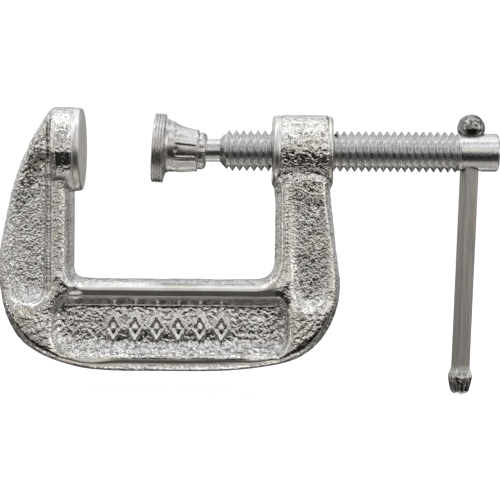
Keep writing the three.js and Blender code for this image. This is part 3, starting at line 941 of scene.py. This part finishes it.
def mixed(nodes, links, amount, a, b):
    made = nodes.new("ShaderNodeMix")
    made.data_type = "RGBA"
    for socket, value in ((made.inputs[0], amount), (made.inputs[6], a), (made.inputs[7], b)):
        links.new(value, socket)
    return made.outputs[2]


def make_world():
    """A room that is pale overhead, grey at eye level, dark below and pale again underfoot, with its own
    ramp towards the camera, away from it and to the sides. The camera itself sees plain white."""
    world = bpy.data.worlds.new("studio")
    bpy.context.scene.world = world
    world.use_nodes = True
    nodes, links = world.node_tree.nodes, world.node_tree.links
    nodes.clear()
    out = nodes.new("ShaderNodeOutputWorld")
    direction = nodes.new("ShaderNodeTexCoord")
    split = nodes.new("ShaderNodeSeparateXYZ")
    links.new(direction.outputs["Generated"], split.inputs[0])
    up = map_range(nodes, links, split.outputs["Z"], (-1, 1), (0, 1))
    warm, cool = (1.0, 0.965, 0.92), (0.965, 0.985, 1.0)
    camera_side = (
        (0.0, 0.42, warm), (0.03, 0.36, warm), (0.067, 0.20, warm), (0.11, 0.05, warm),
        (0.16, 0.012, warm), (0.40, 0.012, warm), (0.46, 0.25, warm), (0.5, 0.42, warm),
        (0.70, 0.38, warm), (0.82, 0.56, cool), (0.92, 0.72, cool), (1.0, 0.70, cool),
    )
    far_side = (
        (0.0, 0.40, warm), (0.04, 0.58, warm), (0.09, 0.46, warm), (0.15, 0.13, warm),
        (0.24, 0.04, warm), (0.45, 0.06, warm), (0.5, 0.26, warm), (0.62, 0.32, cool),
        (0.75, 0.34, cool), (0.90, 0.38, cool), (0.97, 0.48, cool), (1.0, 0.62, cool),
    )
    beside = (
        (0.0, 0.40, warm), (0.12, 0.25, warm), (0.25, 0.07, warm), (0.42, 0.07, warm),
        (0.5, 0.34, warm), (0.72, 0.38, cool), (0.88, 0.54, cool), (1.0, 0.68, cool),
    )
    away = map_range(nodes, links, split.outputs["Y"], (-0.14, 0.14), (0, 1), "SMOOTHSTEP")
    ramps = [grey_ramp(nodes, links, up, stops) for stops in (camera_side, far_side, beside)]
    sides = mixed(nodes, links, away, ramps[0], ramps[1])
    sideways = nodes.new("ShaderNodeMath")
    sideways.operation = "ABSOLUTE"
    links.new(split.outputs["X"], sideways.inputs[0])
    past_sides = map_range(nodes, links, sideways.outputs[0], (0.55, 0.68), (0, 1))
    around = mixed(nodes, links, past_sides, sides, ramps[2])
    clutter = nodes.new("ShaderNodeTexNoise")
    clutter.inputs["Scale"].default_value = 3.2
    clutter.inputs["Detail"].default_value = 1.0
    links.new(direction.outputs["Generated"], clutter.inputs["Vector"])
    panels = map_range(nodes, links, clutter.outputs["Fac"], (0.40, 0.60), (0.32, 1.7))
    shaded = nodes.new("ShaderNodeVectorMath")
    shaded.operation = "SCALE"
    links.new(around, shaded.inputs[0])
    links.new(panels, shaded.inputs["Scale"])
    room = nodes.new("ShaderNodeBackground")
    links.new(shaded.outputs[0], room.inputs["Color"])
    room.inputs["Strength"].default_value = ROOM_STRENGTH
    white = nodes.new("ShaderNodeBackground")
    white.inputs["Color"].default_value = (1, 1, 1, 1)
    white.inputs["Strength"].default_value = BACKDROP_STRENGTH
    path = nodes.new("ShaderNodeLightPath")
    chooser = nodes.new("ShaderNodeMixShader")
    links.new(path.outputs["Is Camera Ray"], chooser.inputs[0])
    links.new(room.outputs[0], chooser.inputs[1])
    links.new(white.outputs[0], chooser.inputs[2])
    links.new(chooser.outputs[0], out.inputs["Surface"])


def area_light(name, place, target, size_x, size_y, power):
    light = bpy.data.lights.new(name, "AREA")
    light.shape = "RECTANGLE"
    light.size, light.size_y = size_x, size_y
    light.energy = power
    obj = bpy.data.objects.new(name, light)
    obj.location = place
    obj.rotation_euler = (Vector(target) - Vector(place)).to_track_quat("-Z", "Y").to_euler()
    bpy.context.scene.collection.objects.link(obj)


def make_camera():
    """The photograph's view: straight at the front face from 0.3 m, rolled half a degree."""
    data = bpy.data.cameras.new("view")
    data.lens = CAMERA_LENS
    data.sensor_width = 36
    camera = bpy.data.objects.new("view", data)
    camera.location = CAMERA_PLACE
    camera.rotation_euler = (math.pi / 2, CAMERA_ROLL, 0)
    bpy.context.scene.collection.objects.link(camera)
    bpy.context.scene.camera = camera


low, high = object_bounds()
middle = (Vector(low) + Vector(high)) / 2
make_floor(middle)
make_world()
make_camera()
area_light("overhead", (middle.x, 0.10, 0.50), (middle.x, 0, 0), 0.8, 0.5, 0.2)
area_light("side_left", (middle.x - 0.55, -0.30, 0.10), middle, 0.16, 0.5, 0.22)
area_light("side_right", (middle.x + 0.55, -0.25, 0.14), middle, 0.16, 0.5, 0.22)
bpy.context.scene.view_settings.view_transform = "Standard"
